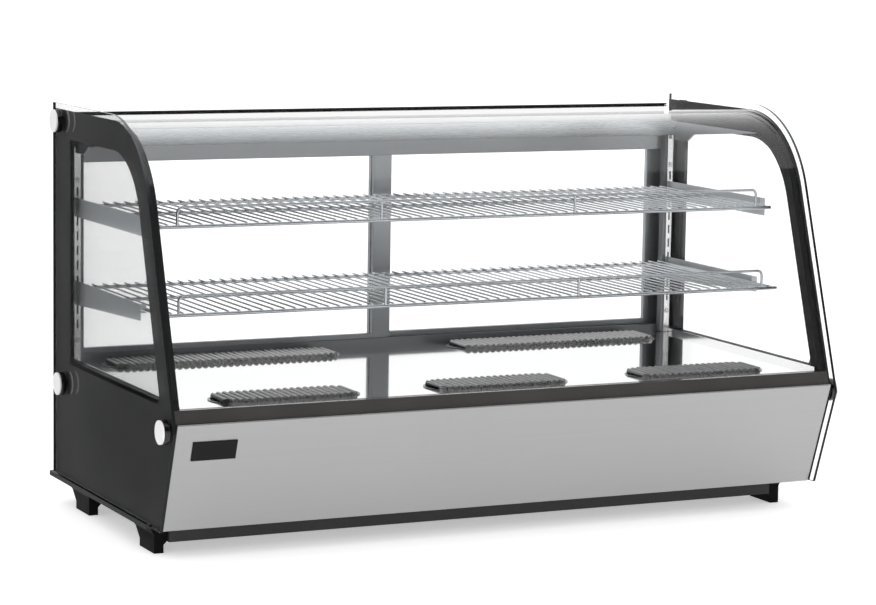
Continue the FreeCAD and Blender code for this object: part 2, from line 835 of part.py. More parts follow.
def build_shelves():
    for name in ("upper", "lower"):
        front_y = dim("shelf_%s_front" % name)
        z = dim("shelf_%s_z" % name)
        grid = shelf(dim("shelf_%s_half" % name), front_y, z)
        welded = grid.fuse(guard(dim("guard_%s_half" % name), front_y, z))
        node(feature("shelf_%s_shape" % name, welded), "shelf_" + name)


def bracket_blade(level):
    """Outline of a bracket: its hooked rear end, and a front end with an upturned nose."""
    z = dim("shelf_%s_z" % level)
    front_y = dim("bracket_%s_front" % level)
    rear_y = dim("bracket_rear_y")
    rise = dim("bracket_%s_rise" % level)
    front_drop = dim("bracket_%s_front_drop" % level)
    rear_drop = dim("bracket_%s_rear_drop" % level)
    corners = [(front_y, z + rise), (rear_y, z + rise), (rear_y, z - rear_drop),
               (rear_y - dim("bracket_heel"), z - rear_drop), (front_y, z - front_drop)]
    return Part.Face(Part.makePolygon([V(0, y, height) for y, height in corners + corners[:1]]))


def build_shelf_brackets():
    """Folded brackets: a tapered blade hooked in the pilaster, with a ledge inside."""
    thick = dim("bracket_thick")
    ledge = dim("bracket_ledge")
    rear_y = dim("bracket_rear_y")
    solids = []
    for sign in (-1, 1):
        for level in ("upper", "lower"):
            front_y = dim("bracket_%s_front" % level)
            ledge_z = dim("shelf_%s_z" % level) - dim("rail_wire_radius") - thick
            blade = bracket_blade(level).extrude(V(thick, 0, 0))
            shelf_ledge = Part.makeBox(ledge, rear_y - front_y - 2 * ledge, thick,
                                       V(-ledge, front_y, ledge_z))
            nose_plate = Part.makeBox(ledge, thick, dim("bracket_%s_rise" % level) - thick,
                                      V(-ledge, front_y, dim("shelf_%s_z" % level) + thick))
            piece = blade.multiFuse([shelf_ledge, nose_plate]).removeSplitter()
            if sign < 0:
                piece = piece.mirror(V(0, 0, 0), V(1, 0, 0))
            piece.translate(V(sign * dim("bracket_x"), 0, 0))
            solids.append(piece)
    node(feature("shelf_brackets_group", Part.makeCompound(solids)), "shelf_brackets")


def build_pilasters():
    """Slotted uprights on the rear posts, that the brackets hook into."""
    low = dim("deck_z") + 0.5
    top = dim("pilaster_top_z")
    width = dim("pilaster_outer_x") - dim("pilaster_inner_x")
    depth = dim("post_front_y") - dim("pilaster_front_y")
    solids = []
    for low_x in (dim("pilaster_inner_x"), -dim("pilaster_outer_x")):
        strip = Part.makeBox(width, depth, top - low, V(low_x, dim("pilaster_front_y"), low))
        count = int((top - low - 140) / dim("slot_pitch"))
        for index in range(count + 1):
            z = dim("pilaster_screw_bottom") + 20 + index * dim("slot_pitch")
            if z + dim("slot_height") > dim("pilaster_screw_top") - 8:
                break
            hole = Part.makeBox(dim("slot_width"), depth, dim("slot_height"),
                                V(low_x + width / 2 - dim("slot_width") / 2, dim("pilaster_front_y"), z))
            strip = strip.cut(hole)
        solids.append(strip)
    node(feature("pilasters_group", Part.makeCompound(solids)), "pilasters")


def pilaster_screws():
    """Button-head screws with washers, top and bottom of each pilaster."""
    solids = []
    y = dim("pilaster_front_y")
    for sign in (-1, 1):
        x = sign * (dim("pilaster_inner_x") + dim("pilaster_outer_x")) / 2
        for z in (dim("pilaster_screw_bottom"), dim("pilaster_screw_top")):
            washer = Part.makeCylinder(5.0, 0.8, V(x, y, z), V(0, -1, 0))
            head = Part.makeCylinder(3.2, 1.8, V(x, y, z), V(0, -1, 0))
            socket = Part.makeCylinder(1.3, 1.0, V(x, y - 1.8, z), V(0, 1, 0))
            solids.append(washer.fuse(head).cut(socket).removeSplitter())
    return solids


# ---------------------------------------------------------------- rear structure

def build_rear_posts():
    for side_name, sign in (("left", -1), ("right", 1)):
        x = ("post_inner_x", "post_outer_x") if sign > 0 else ("-post_outer_x", "-post_inner_x")
        post = block("post_%s_box" % side_name, x, ("post_front_y", "track_front_y"),
                     ("deck_z + 0.5", "post_top_z"))
        node(post, "rear_post_" + side_name)


def track(name, low_z, high_z, groove_z):
    """A double track with one groove per door."""
    rail = block(name + "_rail", ("-frame_inner_x + 0.5", "frame_inner_x - 0.5"),
                 ("track_front_y", "track_rear_y"), (low_z, high_z))
    cutters = []
    for door in ("left", "right"):
        middle = "door_%s_y + door_thick / 2" % door
        cutters.append(block("%s_groove_%s" % (name, door), ("-frame_inner_x", "frame_inner_x"),
                             (middle + " - track_groove / 2", middle + " + track_groove / 2"),
                             groove_z))
    return cut(name + "_cut", rail, fuse(name + "_grooves", cutters))


def build_tracks():
    node(track("track_low", "track_low_bottom", "track_low_top",
               ("track_low_top - track_low_depth", "track_low_top + 1")), "door_track_bottom")
    node(track("track_high", "track_high_bottom", "track_high_top",
               ("track_high_bottom - 1", "track_high_bottom + track_high_depth")), "door_track_top")


def build_header():
    """Folded header over posts and doors, open at the back, with a recess below for the lamp."""
    wide = ("-frame_inner_x + 0.5", "frame_inner_x - 0.5")
    beyond = ("-frame_inner_x - 1", "frame_inner_x + 1")
    front = ("header_front_y + header_sheet", "track_rear_y + 1")
    sheet = block("header_block", wide, ("header_front_y", "track_rear_y - header_sheet - 0.3"),
                  ("header_bottom", "header_top"))
    recess = block("header_recess_block", beyond, front,
                   ("header_bottom - 1", "header_bottom + header_recess"))
    hollow = block("header_hollow", beyond, front,
                   ("header_bottom + header_recess + header_sheet", "header_top - header_sheet"))
    node(cut("header_cut", sheet, fuse("header_hollows", [recess, hollow])), "top_header")


def build_header_cover():
    """White cover on the header, with an apron down its open back."""
    wide = ("-frame_inner_x + 0.5", "frame_inner_x - 0.5")
    lid = block("cover_lid", wide, ("cover_front_y", "track_rear_y"),
                ("header_top", "cover_top"))
    apron = block("cover_apron", wide, ("track_rear_y - header_sheet", "track_rear_y"),
                  ("track_high_top + 0.3", "cover_top"))
    node(fuse("cover_fuse", [lid, apron]), "header_cover")


def build_rear_seal():
    """Rubber channel pushed over the curved glass's rear edge, standing on the cover."""
    wide = ("-frame_inner_x + 0.5", "frame_inner_x - 0.5")
    web_y = "glass_top_rear_y + 0.3"
    upper_z = "glass_top_rear_z + 0.6"
    lower_z = "glass_top_rear_z - front_glass_thick - 0.4"
    web = block("seal_web", wide, (web_y, web_y + " + seal_thick"), ("cover_top", upper_z))
    lips = [
        block("seal_upper_lip", wide, ("glass_top_rear_y - seal_lip", web_y + " + seal_thick"),
              (upper_z, upper_z + " + seal_thick")),
        block("seal_lower_lip", wide, ("glass_top_rear_y - seal_lip", web_y), ("cover_top", lower_z)),
    ]
    node(fuse("seal_fuse", [web] + lips), "glass_rear_seal")


def build_header_brackets():
    """Grey cheeks that carry the header on the side frames, rising to the front."""
    thick = dim("header_cheek")
    top = dim("frame_head")
    low = dim("cheek_low_z")
    rear = dim("header_front_y") - 0.5
    corners = [(rear, top), (rear, low), (rear - dim("cheek_flat"), low),
               (rear - dim("cheek_step_y"), low + dim("cheek_step_z")),
               (rear - dim("cheek_length"), top - 1), (rear - dim("cheek_length"), top)]
    shape = Part.Face(Part.makePolygon([V(0, y, z) for y, z in corners + corners[:1]]))
    solids = []
    for low_x in (-dim("frame_inner_x") + 0.4, dim("frame_inner_x") - 0.4 - thick):
        solid = shape.extrude(V(thick, 0, 0))
        solid.translate(V(low_x, 0, 0))
        solids.append(solid)
    node(feature("header_brackets_group", Part.makeCompound(solids)), "header_brackets")


def build_lamp():
    """Diffuser of the LED lamp, in the recess under the front of the header."""
    lamp = block("lamp_block", ("-frame_inner_x + lamp_inset", "frame_inner_x - lamp_inset"),
                 ("header_front_y + header_sheet + 0.5",
                  "header_front_y + header_sheet + 0.5 + lamp_width"),
                 ("header_bottom + header_recess - lamp_height", "header_bottom + header_recess"))
    node(lamp, "led_lamp")


# ---------------------------------------------------------------- sliding doors

def build_door(side_name, low_x, high_x, low_stile, high_stile, pull_x):
    """A framed door pane that slides in its groove, with a cup pull let into a stile."""
    y = ("door_%s_y" % side_name, "door_%s_y + door_thick" % side_name)
    middle = "door_%s_y + door_thick / 2" % side_name
    frame = block("door_%s_block" % side_name, (low_x, high_x), y, ("door_bottom", "door_top"))
    opening_x = (low_x + " + " + low_stile, high_x + " - " + high_stile)
    opening = block("door_%s_opening" % side_name, opening_x,
                    (y[0] + " - 1", y[1] + " + 1"), ("door_sill", "door_head"))
    framed = cut("door_%s_ring" % side_name, frame, opening)
    pane = block("door_%s_pane" % side_name, opening_x,
                 (middle + " - door_pane / 2", middle + " + door_pane / 2"),
                 ("door_sill", "door_head"))
    socket = block("door_%s_socket" % side_name,
                   (pull_x + " - pull_width / 2", pull_x + " + pull_width / 2"),
                   (y[1] + " - pull_depth", y[1] + " + 1"),
                   ("pull_z - pull_height / 2", "pull_z + pull_height / 2"))
    node(cut("door_%s_frame_cut" % side_name, framed, socket), "door_frame_" + side_name)
    node(pane, "door_glass_" + side_name)
    cup = block("pull_%s_block" % side_name,
                (pull_x + " - pull_width / 2", pull_x + " + pull_width / 2"),
                (y[1] + " - pull_depth", y[1]),
                ("pull_z - pull_height / 2", "pull_z + pull_height / 2"))
    well = block("pull_%s_well" % side_name,
                 (pull_x + " - pull_width / 2 + 2", pull_x + " + pull_width / 2 - 2"),
                 (y[1] + " - pull_depth + 1.5", y[1] + " + 1"),
                 ("pull_z - pull_height / 2 + 3", "pull_z + pull_height / 2 - 3"))
    node(cut("pull_%s_cut" % side_name, cup, well), "door_pull_" + side_name)


def build_doors():
    build_door("left", "-door_outer_x", "door_overlap_x", "door_jamb_left", "door_stile",
               "-door_outer_x + door_jamb_left / 2")
    build_door("right", "-door_overlap_x", "door_outer_x", "door_stile", "door_jamb_right",
               "door_outer_x - door_jamb_right / 2")


# ---------------------------------------------------------------- cooling

def build_tub():
    """Insulated trough under the deck."""
    outer = block("tub_outer", ("-tub_half_x", "tub_half_x"), ("tub_front_y", "tub_rear_y"),
                  ("tub_bottom", "tub_top"))
    inner = block("tub_inner", ("-tub_half_x + tub_wall", "tub_half_x - tub_wall"),
                  ("tub_front_y + tub_wall", "tub_rear_y - tub_wall"),
                  ("tub_bottom + tub_wall", "tub_top + 1"))
    node(cut("tub_cut", outer, inner), "insulation_tub")


def build_evaporator():
    """Finned coil: aluminium fins on copper tubes running along X."""
    half = dim("coil_half_x")
    low_y = dim("coil_front_y")
    depth = dim("coil_depth")
    low_z = dim("tub_bottom") + dim("tub_wall") + 2
    height = dim("coil_height")
    pieces = []
    count = int(2 * half / dim("coil_fin_pitch"))
    for index in range(count + 1):
        x = (index - count / 2) * dim("coil_fin_pitch")
        pieces.append(Part.makeBox(dim("coil_fin_thick"), depth, height, V(x, low_y, low_z)))
    for row_y in (0.2, 0.5, 0.8):
        for row_z in (0.27, 0.73):
            start = V(-half - 8, low_y + row_y * depth, low_z + row_z * height)
            pieces.append(wire(dim("coil_tube_radius"), start, start + V(2 * half + 16, 0, 0)))
    coil = pieces[0].multiFuse(pieces[1:])
    node(feature("evaporator_shape", coil), "evaporator")


def fan_rotor(radius, hub, height, blades):
    """An axial rotor about +Z: a hub with twisted blades, its middle at the origin."""
    body = Part.makeCylinder(hub, height, V(0, 0, -height / 2))
    blade = Part.makeBox(radius - hub + 2, 1.2, height * 0.95, V(hub - 2, -0.6, -height * 0.475))
    blade.rotate(V(0, 0, 0), V(1, 0, 0), 52)
    wings = []
    for index in range(blades):
        wing = blade.copy()
        wing.rotate(V(0, 0, 0), V(0, 0, 1), 360.0 / blades * index)
        wings.append(wing)
    bound = Part.makeCylinder(radius, 2 * height, V(0, 0, -height))
    return body.multiFuse(wings).common(bound)


def build_fans():
    """Two cold-air fans under the rear vents and one fan behind the condenser."""
    height = dim("fan_blade_height")
    for side_name, sign in (("left", -1), ("right", 1)):
        rotor = fan_rotor(dim("cold_fan_radius"), dim("fan_hub_radius"), height, 7)
        item = feature("cold_fan_%s_shape" % side_name, rotor)
        settle(item, V(sign * dim("cold_fan_x"), dim("cold_fan_y"), dim("cold_fan_z")))
        node(item, "evaporator_fan_" + side_name)
    rotor = fan_rotor(dim("condenser_fan_radius"), dim("fan_hub_radius"), height, 7)
    item = feature("condenser_fan_shape", rotor)
    middle_z = dim("pan_floor_z") + dim("pan_thick") + dim("condenser_height") / 2
    settle(item, V(dim("condenser_fan_x"), dim("condenser_y"), middle_z),
           FreeCAD.Rotation(V(0, 1, 0), 90))
    node(item, "condenser_fan")


def motor(radius, length, span, foot):
    """A motor can below a rotor, on a cross strut that reaches two end pads."""
    can = Part.makeCylinder(radius, length, V(0, 0, -length))
    strut = Part.makeBox(2 * span, 10, 2, V(-span, -5, -length))
    pads = [Part.makeBox(10, 10, foot, V(x, -5, -length - foot)) for x in (-span, span - 10)]
    return can.multiFuse([strut] + pads)


def build_motors():
    """Fan motors: two on the tub floor, one in front of the condenser fan."""
    gap = dim("fan_blade_height") / 2 + 1
    top_z = dim("cold_fan_z") - gap
    floor = dim("tub_bottom") + dim("tub_wall")
    solids = []
    for sign in (-1, 1):
        can = motor(15, 18, 34, top_z - 18 - floor)
        can.translate(V(sign * dim("cold_fan_x"), dim("cold_fan_y"), top_z))
        solids.append(can)
    middle_z = dim("pan_floor_z") + dim("pan_thick") + dim("condenser_height") / 2
    can = motor(20, 26, middle_z - dim("pan_floor_z") - dim("pan_thick"), 2)
    can.rotate(V(0, 0, 0), V(0, 1, 0), 90)
    can.translate(V(dim("condenser_fan_x") - gap, dim("condenser_y"), middle_z))
    solids.append(can)
    node(feature("fan_motors_group", Part.makeCompound(solids)), "fan_motors")


def build_compressor():
    """Hermetic compressor: a domed can on a footed plate."""
    radius = dim("compressor_radius")
    floor = dim("pan_floor_z") + dim("pan_thick")
    height = dim("compressor_height")
    can = Part.makeCylinder(radius, height - 18, V(0, 0, 10))
    dome = Part.makeSphere(radius * 1.6, V(0, 0, height - radius * 1.6))
    dome = dome.common(Part.makeCylinder(radius, 60, V(0, 0, height - 40)))
    plate = Part.makeBox(150, 110, 3, V(-75, -55, 8))
    mounts = [Part.makeCylinder(8, 9, V(x, y, 0)) for x in (-64, 64) for y in (-44, 44)]
    seam = Part.makeCylinder(radius + 2, 5, V(0, 0, 58))
    lug = Part.makeBox(30, 24, 40, V(-15, radius - 6, 30))
    body = can.multiFuse([dome, plate, seam, lug] + mounts).removeSplitter()
    item = feature("compressor_shape", body)
    settle(item, V(dim("compressor_x"), dim("compressor_y"), floor))
    node(item, "compressor")


def build_condenser():
    """Finned condenser block standing on the pan, its fins across X."""
    low_x = dim("condenser_x")
    depth = dim("condenser_depth_x")
    half = dim("condenser_half_y")
    floor = dim("pan_floor_z") + dim("pan_thick")
    height = dim("condenser_height")
    pieces = []
    count = int(2 * half / dim("coil_fin_pitch"))
    for index in range(count + 1):
        y = dim("condenser_y") + (index - count / 2) * dim("coil_fin_pitch")
        pieces.append(Part.makeBox(depth, dim("coil_fin_thick"), height, V(low_x, y, floor)))
    for share_x in (0.25, 0.75):
        for share_z in (0.15, 0.38, 0.62, 0.85):
            start = V(low_x + share_x * depth, dim("condenser_y") - half - 8, floor + share_z * height)
            pieces.append(wire(dim("coil_tube_radius"), start, start + V(0, 2 * half + 16, 0)))
    coil = pieces[0].multiFuse(pieces[1:])
    node(feature("condenser_shape", coil), "condenser")


def build_pipes():
    """Copper discharge and liquid lines between compressor, condenser and drier."""
    floor = dim("pan_floor_z") + dim("pan_thick")
    start_x = dim("compressor_x") + dim("compressor_radius") + 4
    y = dim("compressor_y") - 20
    end_x = dim("condenser_x") + dim("condenser_depth_x") / 4
    end_y = dim("condenser_y") - dim("condenser_half_y") - 30
    discharge = bent_wire(3.2, [V(start_x, y, floor + 60), V(start_x + 40, y, floor + 60),
                                V(start_x + 40, end_y, floor + 60), V(end_x, end_y, floor + 60),
                                V(end_x, end_y + 20, floor + 60)], 12)
    drier = Part.makeCylinder(11, 90, V(end_x + 60, end_y - 30, floor + 30), V(1, 0, 0))
    drier = drier.fuse(Part.makeCylinder(4, 120, V(end_x + 45, end_y - 30, floor + 30), V(1, 0, 0)))
    lines = Part.makeCompound([discharge, drier.removeSplitter()])
    node(feature("refrigerant_group", lines), "refrigerant_lines")


def build_tray():
    """Condensate tray on the pan, beside the condenser."""
    floor = dim("pan_floor_z") + dim("pan_thick")
    x = dim("drain_tray_x")
    tray = Part.makeBox(200, 180, 32, V(x, -60, floor + 0.2))
    tray = tray.cut(Part.makeBox(196, 176, 31, V(x + 2, -58, floor + 2.2)))
    node(feature("tray_shape", tray), "condensate_tray")


# ---------------------------------------------------------------- rear panel and controls

def build_rear_panel():
    """Removable rear cover with a louvred field and a cut-out for the controls."""
    y = dim("rear_panel_y")
    half = dim("rear_panel_half_x")
    low = dim("rear_panel_bottom")
    height = dim("rear_panel_top") - low
    sheet = Part.makeBox(2 * half, 1.5, height, V(-half, y, low))
    length = dim("louvre_length")
    cutters = []
    count = int((height - 60) / dim("louvre_pitch"))
    for index in range(count + 1):
        z = low + 30 + index * dim("louvre_pitch")
        cutters.append(Part.makeBox(length, 1.5, dim("louvre_height"), V(dim("louvre_x"), y, z)))
    cutters.append(Part.makeBox(2 * dim("control_half_x") - 12, 1.5, 2 * dim("control_half_z") - 12,
                                V(dim("control_x") - dim("control_half_x") + 6, y,
                                  dim("control_z") - dim("control_half_z") + 6)))
    cutters.append(Part.makeCylinder(10, 1.5, V(dim("gland_x"), y, dim("gland_z")), V(0, 1, 0)))
    sheet = sheet.cut(cutters)
    node(feature("rear_panel_shape", sheet), "rear_panel")


def build_controls():
    """Control plate with thermostat knob, lamp and power rockers, and a cable gland."""
    y = dim("rear_panel_y") + 1.5
    thick = dim("control_thick")
    plate = Part.makeBox(2 * dim("control_half_x"), thick, 2 * dim("control_half_z"),
                         V(dim("control_x") - dim("control_half_x"), y,
                           dim("control_z") - dim("control_half_z")))
    reach = dim("rocker_radius") + 0.4
    for name in ("power_switch_x", "light_switch_x"):
        wide = dim("rocker_half_x") + 0.4
        plate = plate.cut(Part.makeBox(2 * wide, thick, 2 * reach,
                                       V(dim(name) - wide, y, dim("control_z") - reach)))
    spindle = Part.makeCylinder(4.1, thick, V(dim("knob_x"), y, dim("control_z")), V(0, 1, 0))
    node(feature("control_plate_shape", plate.cut(spindle)), "control_plate")
    build_knob(y + thick)
    for name in ("power_switch", "light_switch"):
        build_rocker(name, y + thick)


def build_knob(face_y):
    """Thermostat knob with a pointer ridge, on a spindle through the plate."""
    height = dim("knob_height")
    body = Part.makeCylinder(dim("knob_radius"), height, V(0, 0, 0.4))
    body = body.makeFillet(2, [edge for edge in body.Edges if edge.CenterOfMass.z > height])
    ridge = Part.makeBox(3, dim("knob_radius"), 3, V(-1.5, 0, height - 1))
    spindle = Part.makeCylinder(4, 16, V(0, 0, -14))
    item = feature("knob_shape", body.multiFuse([ridge, spindle]))
    settle(item, V(dim("knob_x"), face_y, dim("control_z")), FreeCAD.Rotation(V(1, 0, 0), -90))
    node(item, "thermostat_knob")


def build_rocker(name, face_y):
    """Rocker switch: a short drum about X with two shallow facets, resting at off."""
    radius = dim("rocker_radius")
    half = dim("rocker_half_x")
    drum = Part.makeCylinder(radius, 2 * half, V(-half, 0, 0), V(1, 0, 0))
    facet = 3.5
    for sign in (-1, 1):
        cutter = Part.makeBox(2 * half + 2, radius, 3 * radius, V(-half - 1, facet, -1.5 * radius))
        cutter.rotate(V(0, facet, 0), V(1, 0, 0), sign * dim("rocker_tilt"))
        drum = drum.cut(cutter)
    drum.rotate(V(0, 0, 0), V(1, 0, 0), -dim("rocker_tilt"))
    item = feature(name + "_shape", drum)
    settle(item, V(dim(name + "_x"), face_y - 1, dim("control_z")))
    node(item, name)


def build_gland():
    """Cable gland for the supply lead: hex body, dome nut and an open bore."""
    y = dim("rear_panel_y")
    middle = V(dim("gland_x"), y - 14, dim("gland_z"))
    thread = Part.makeCylinder(9.8, 16, middle, V(0, 1, 0))
    corners = [V(dim("gland_x") + 13 * math.cos(math.radians(60 * k)), y + 1.5,
                 dim("gland_z") + 13 * math.sin(math.radians(60 * k))) for k in range(6)]
    hexagon = Part.Face(Part.makePolygon(corners + corners[:1])).extrude(V(0, 6, 0))
    dome = Part.makeCone(12, 7.5, 12, V(dim("gland_x"), y + 7.5, dim("gland_z")), V(0, 1, 0))
    bore = Part.makeCylinder(4.5, 60, middle - V(0, 5, 0), V(0, 1, 0))
    node(feature("gland_shape", thread.multiFuse([hexagon, dome]).cut(bore).removeSplitter()),
         "cable_gland")


def build_screws():
    """The pilaster screws, and pan-head screws along the rear panel's edges."""
    y = dim("rear_panel_y") + 1.5
    half = dim("rear_panel_half_x") - 12
    solids = pilaster_screws()
    for z in (dim("rear_panel_bottom") + 12, dim("rear_panel_top") - 12):
        for step in range(-2, 3):
            solids.append(Part.makeCylinder(4, 2.4, V(step * half / 2, y, z), V(0, 1, 0)))
    node(feature("screws_group", Part.makeCompound(solids)), "screws")


# ---------------------------------------------------------------- assembly and output

def build_all():
    build_side_glasses()
    build_side_enamel()
    build_side_frames()
    build_side_panes()
    build_side_walls()
    build_standoffs()
    build_front_glass()
    build_front_borders()
    build_glass_rail()
    build_front_panel()
    build_badge()
    build_base_pan()
    build_feet()
    build_deck()
    build_vents()
    build_shelves()
    build_shelf_brackets()
    build_pilasters()
    build_rear_posts()
    build_tracks()
    build_header()
    build_header_cover()
    build_rear_seal()
    build_header_brackets()
    build_lamp()
    build_doors()
    build_tub()
    build_evaporator()
    build_fans()
    build_motors()
    build_compressor()
    build_condenser()
    build_pipes()
    build_tray()
    build_rear_panel()
    build_controls()
    build_gland()
    build_screws()


def check_document():
    """Stop on any object that failed, and on any sub-part without a sound solid."""
    for item in DOC.Objects:
        if "Invalid" in item.State or "Error" in item.State:
            raise RuntimeError("failed object: %s %s" % (item.Name, item.State))
    for item in NODES:
        if item.Shape.isNull() or not item.Shape.isValid() or not item.Shape.Solids:
            raise RuntimeError("bad shape: " + item.Label)


def write_parts():
    os.makedirs("parts", exist_ok=True)
    for item in NODES:
        item.Shape.exportStep(os.path.join("parts", item.Label + ".step"))
        print("%-26s solids %2d  volume %12.1f" % (item.Label, len(item.Shape.Solids), item.Shape.Volume))
    print(len(NODES), "nodes")


build_all()
DOC.recompute()
check_document()
write_parts()
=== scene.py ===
import math

import bpy
from mathutils import Matrix, Vector


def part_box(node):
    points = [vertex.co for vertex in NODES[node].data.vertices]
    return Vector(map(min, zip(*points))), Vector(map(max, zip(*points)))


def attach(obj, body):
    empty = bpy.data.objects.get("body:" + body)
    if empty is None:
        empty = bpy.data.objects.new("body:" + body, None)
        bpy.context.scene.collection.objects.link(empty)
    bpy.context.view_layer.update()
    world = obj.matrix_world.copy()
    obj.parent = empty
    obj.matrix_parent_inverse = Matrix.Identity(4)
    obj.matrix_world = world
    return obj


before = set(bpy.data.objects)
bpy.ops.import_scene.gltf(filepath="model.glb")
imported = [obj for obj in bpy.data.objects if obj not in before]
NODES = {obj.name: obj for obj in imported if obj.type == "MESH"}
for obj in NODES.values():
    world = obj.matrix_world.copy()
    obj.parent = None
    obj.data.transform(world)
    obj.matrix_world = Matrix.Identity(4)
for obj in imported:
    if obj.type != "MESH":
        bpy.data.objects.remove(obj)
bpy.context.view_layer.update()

CAMERA_PLACE = (-2.1677, -4.5296, 1.0235)
CAMERA_TURN = (25.481, 7.563, 0.917)            # yaw, pitch and roll in degrees
CAMERA_LENS = 122.24
CAMERA_SENSOR = 36
AIM = (0, 0, 0.3)                               # where the lights point
SKY_STRENGTH = 1.14
FLOOR_SIZE = 60
FLOOR_DROP = 0.0002                             # the floor lies this far under the feet


# ------------------------------------------------------------------ camera, light, floor

def make_camera():
    """A long-lens camera low at the customer's left, turned a little about its axis."""
    yaw, pitch, roll = (math.radians(a) for a in CAMERA_TURN)
    level = math.cos(pitch)
    forward = Vector((math.sin(yaw) * level, math.cos(yaw) * level, -math.sin(pitch)))
    right = Vector((math.cos(yaw), -math.sin(yaw), 0))
    up = right.cross(forward)
    x_axis = math.cos(roll) * right + math.sin(roll) * up
    y_axis = math.cos(roll) * up - math.sin(roll) * right
    data = bpy.data.cameras.new("camera")
    data.lens = CAMERA_LENS
    data.sensor_width = CAMERA_SENSOR
    data.clip_end = 100
    camera = bpy.data.objects.new("camera", data)
    bpy.context.scene.collection.objects.link(camera)
    matrix = Matrix((x_axis, y_axis, -forward)).transposed().to_4x4()
    matrix.translation = Vector(CAMERA_PLACE)
    camera.matrix_world = matrix
    bpy.context.scene.camera = camera


def area_light(name, place, size, watts):
    """A square soft light aimed at the case, out of the camera's sight."""
    data = bpy.data.lights.new(name, "AREA")
    data.shape = "RECTANGLE"
    data.size = data.size_y = size
    data.energy = watts
    light = bpy.data.objects.new(name, data)
    light.location = place
    light.rotation_mode = "QUATERNION"
    light.rotation_quaternion = (Vector(AIM) - Vector(place)).to_track_quat("-Z", "Y")
    bpy.context.scene.collection.objects.link(light)
    light.visible_camera = False


def flag(name, corners):
    """A dark studio card that only mirrors see: black gloss then reflects black."""
    mesh = bpy.data.meshes.new(name)
    mesh.from_pydata(corners, [], [(0, 1, 2, 3)])
    card = bpy.data.objects.new(name, mesh)
    bpy.context.scene.collection.objects.link(card)
    mesh.materials.append(FLAG)
    for ray in ("camera", "diffuse", "transmission", "shadow", "volume_scatter"):
        setattr(card, "visible_" + ray, False)


def make_stage():
    """White surroundings, a pale floor, two soft lights and two dark cards."""
    world = bpy.data.worlds.new("studio")
    bpy.context.scene.world = world
    world.use_nodes = True
    sky = world.node_tree.nodes["Background"]
    sky.inputs["Color"].default_value = (1, 1, 1, 1)
    sky.inputs["Strength"].default_value = SKY_STRENGTH
    bpy.ops.mesh.primitive_plane_add(size=FLOOR_SIZE, location=(0, 0, -FLOOR_DROP))
    floor = bpy.context.object
    floor.name = "floor"
    floor.data.materials.append(FLOOR)
    area_light("key", place=(-2.6, -2.4, 3.2), size=2.4, watts=20)
    area_light("fill", place=(3.0, -2.6, 2.0), size=2.0, watts=10)
    left, near, far, high = -0.66, -0.45, 1.6, 0.8
    flag("flag_left", [(left, near, 0), (left, far, 0), (left, far, high), (left, near, high)])
    left, right, front, low, high = -2.0, 4.5, -1.6, 0.55, 2.6
    flag("flag_front", [(left, front, low), (right, front, low),
                        (right, front, high), (left, front, high)])


# ------------------------------------------------------------------ material building

class Tree:
    """A short way to write a node material."""

    def __init__(self, name):
        self.material = bpy.data.materials.new(name)
        self.material.use_nodes = True
        self.tree = self.material.node_tree
        self.tree.nodes.clear()
        self.output = self.node("ShaderNodeOutputMaterial")

    def node(self, kind, **settings):
        made = self.tree.nodes.new(kind)
        for key, value in settings.items():
            setattr(made, key, value)
        return made

    def link(self, source, target):
        self.tree.links.new(source, target)

    def put(self, node, **inputs):
        """Set or link a node's inputs; underscores in a name stand for spaces."""
        for key, value in inputs.items():
            socket = node.inputs[key.replace("_", " ")]
            if isinstance(value, bpy.types.NodeSocket):
                self.link(value, socket)
            else:
                socket.default_value = value
        return node

    def coords(self, scale):
        """Object coordinates, stretched by a scale for each axis."""
        texture = self.node("ShaderNodeTexCoord")
        mapping = self.node("ShaderNodeMapping")
        self.link(texture.outputs["Object"], mapping.inputs["Vector"])
        mapping.inputs["Scale"].default_value = scale
        return mapping.outputs["Vector"]

    def noise(self, scale, detail=4.0, rough=0.55, stretch=(1, 1, 1)):
        made = self.node("ShaderNodeTexNoise")
        self.put(made, Vector=self.coords(stretch), Scale=scale, Detail=detail, Roughness=rough)
        return made.outputs["Fac"]

    def spread(self, source, low, high, start=0.3, end=0.7):
        """Map a 0..1 value to a range of numbers."""
        made = self.node("ShaderNodeMapRange")
        self.put(made, Value=source)
        for key, value in (("From Min", start), ("From Max", end), ("To Min", low), ("To Max", high)):
            made.inputs[key].default_value = value
        return made.outputs["Result"]

    def colours(self, source, low, high, start=0.3, end=0.7):
        """Map a 0..1 value to a run from one colour to another."""
        made = self.node("ShaderNodeValToRGB")
        self.link(source, made.inputs["Fac"])
        made.color_ramp.elements[0].position = start
        made.color_ramp.elements[0].color = (*low, 1)
        made.color_ramp.elements[1].position = end
        made.color_ramp.elements[1].color = (*high, 1)
        return made.outputs["Color"]

    def maths(self, operation, first, second=None, third=None):
        made = self.node("ShaderNodeMath", operation=operation)
        for index, value in enumerate((first, second, third)):
            if isinstance(value, bpy.types.NodeSocket):
                self.link(value, made.inputs[index])
            elif value is not None:
                made.inputs[index].default_value = value
        return made.outputs[0]

    def bump(self, source, strength, distance):
        made = self.node("ShaderNodeBump")
        self.put(made, Strength=strength, Distance=distance, Height=source)
        return made.outputs["Normal"]

    def height(self, low_z, high_z):
        """0 at one height of the case, 1 at another."""
        texture = self.node("ShaderNodeTexCoord")
        parts = self.node("ShaderNodeSeparateXYZ")
        self.link(texture.outputs["Object"], parts.inputs["Vector"])
        return self.spread(parts.outputs["Z"], 0.0, 1.0, low_z, high_z)

    def finish(self, **inputs):
        shader = self.node("ShaderNodeBsdfPrincipled")
        self.put(shader, **inputs)
        self.link(shader.outputs["BSDF"], self.output.inputs["Surface"])
        return self.material


